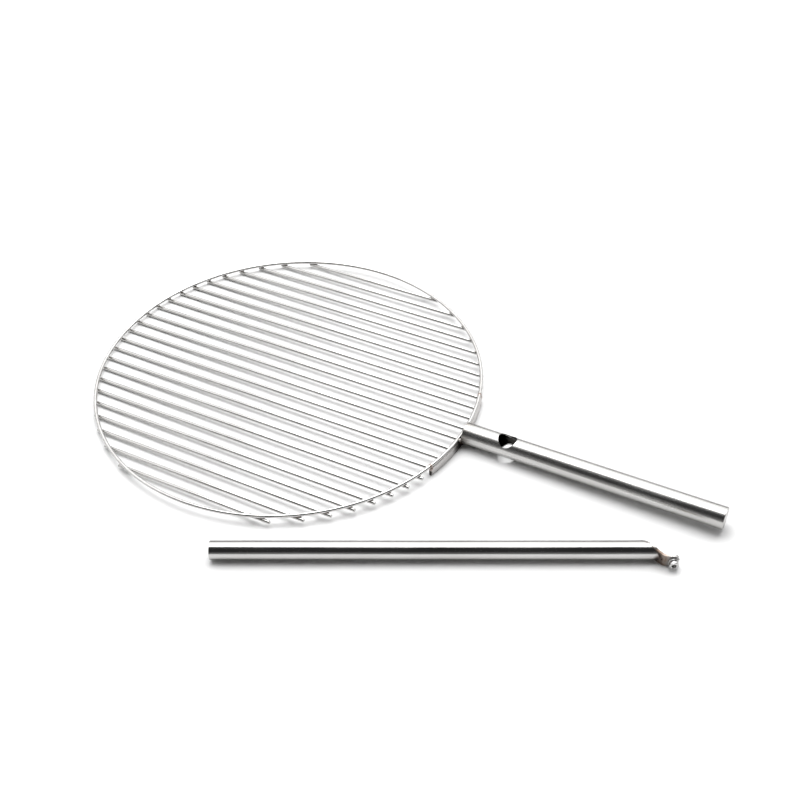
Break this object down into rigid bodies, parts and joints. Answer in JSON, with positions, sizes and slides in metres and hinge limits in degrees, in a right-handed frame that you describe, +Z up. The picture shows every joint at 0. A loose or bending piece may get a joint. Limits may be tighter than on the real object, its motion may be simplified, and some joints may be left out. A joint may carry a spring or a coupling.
{
  "type": "swivelling fire pit grill grate with support pole",
  "caption": "Round wire grill grate with a side handle tube and its clamp-on support pole, lying taken apart on the ground.",
  "frame": {"origin": "middle of the footprint of both pieces, at ground level", "axes": "+X along the support pole towards its clamp foot, +Y from the pole towards the grate, +Z up"},
  "size_m": [0.6998, 0.519, 0.029],
  "materials": {
    "bar_steel": "drawn, polished",
    "ring_steel": "drawn, polished",
    "band_steel": "ground, faint heat tint by the welds",
    "handle_steel": "polished lengthwise",
    "handle_plug_steel": "ground flat",
    "pole_steel": "polished lengthwise",
    "pole_plug_steel": "ground flat",
    "bracket_steel": "ground, brown heat tint from welding",
    "screw_steel": "turned, plain",
    "washer_steel": "rolled, plain"
  },
  "bodies": {
    "grate": {"ring": "ring_steel", "bar_01": "bar_steel", "bar_02": "bar_steel", "bar_03": "bar_steel", "bar_04": "bar_steel", "bar_05": "bar_steel", "bar_06": "bar_steel", "bar_07": "bar_steel", "bar_08": "bar_steel", "bar_09": "bar_steel", "bar_10": "bar_steel", "bar_11": "bar_steel", "bar_12": "bar_steel", "bar_13": "bar_steel", "bar_14": "bar_steel", "bar_15": "bar_steel", "bar_16": "bar_steel", "bar_17": "bar_steel", "bar_18": "bar_steel", "bar_19": "bar_steel", "bar_20": "bar_steel", "bar_21": "bar_steel", "bar_22": "bar_steel", "bar_23": "bar_steel", "bar_24": "bar_steel", "handle_band": "band_steel", "handle_tube": "handle_steel", "handle_end_plug": "handle_plug_steel"},
    "pole": {"pole_tube": "pole_steel", "pole_end_plug": "pole_plug_steel", "foot_bracket": "bracket_steel"},
    "washer": {"clamp_washer": "washer_steel"},
    "screw": {"clamp_screw": "screw_steel"}
  },
  "joints": [
    {"name": "pole_lift", "type": "slide", "parent": "grate", "child": "pole", "axis": [0, 0, 1], "range_m": [0, 0.3]},
    {"name": "screw_travel", "type": "slide", "parent": "pole", "child": "washer", "axis": [0, -0.9936, -0.113], "range_m": [0, 0.005]},
    {"name": "screw_turn", "type": "hinge", "parent": "washer", "child": "screw", "pos_m": [0.28415, -0.2514, 0.00864], "axis": [0, -0.9936, -0.113], "range_deg": [0, 1800]}
  ],
  "couplings": [
    {"joint": "screw_turn", "follows": "screw_travel", "rad_per_m": 6283.2}
  ]
}
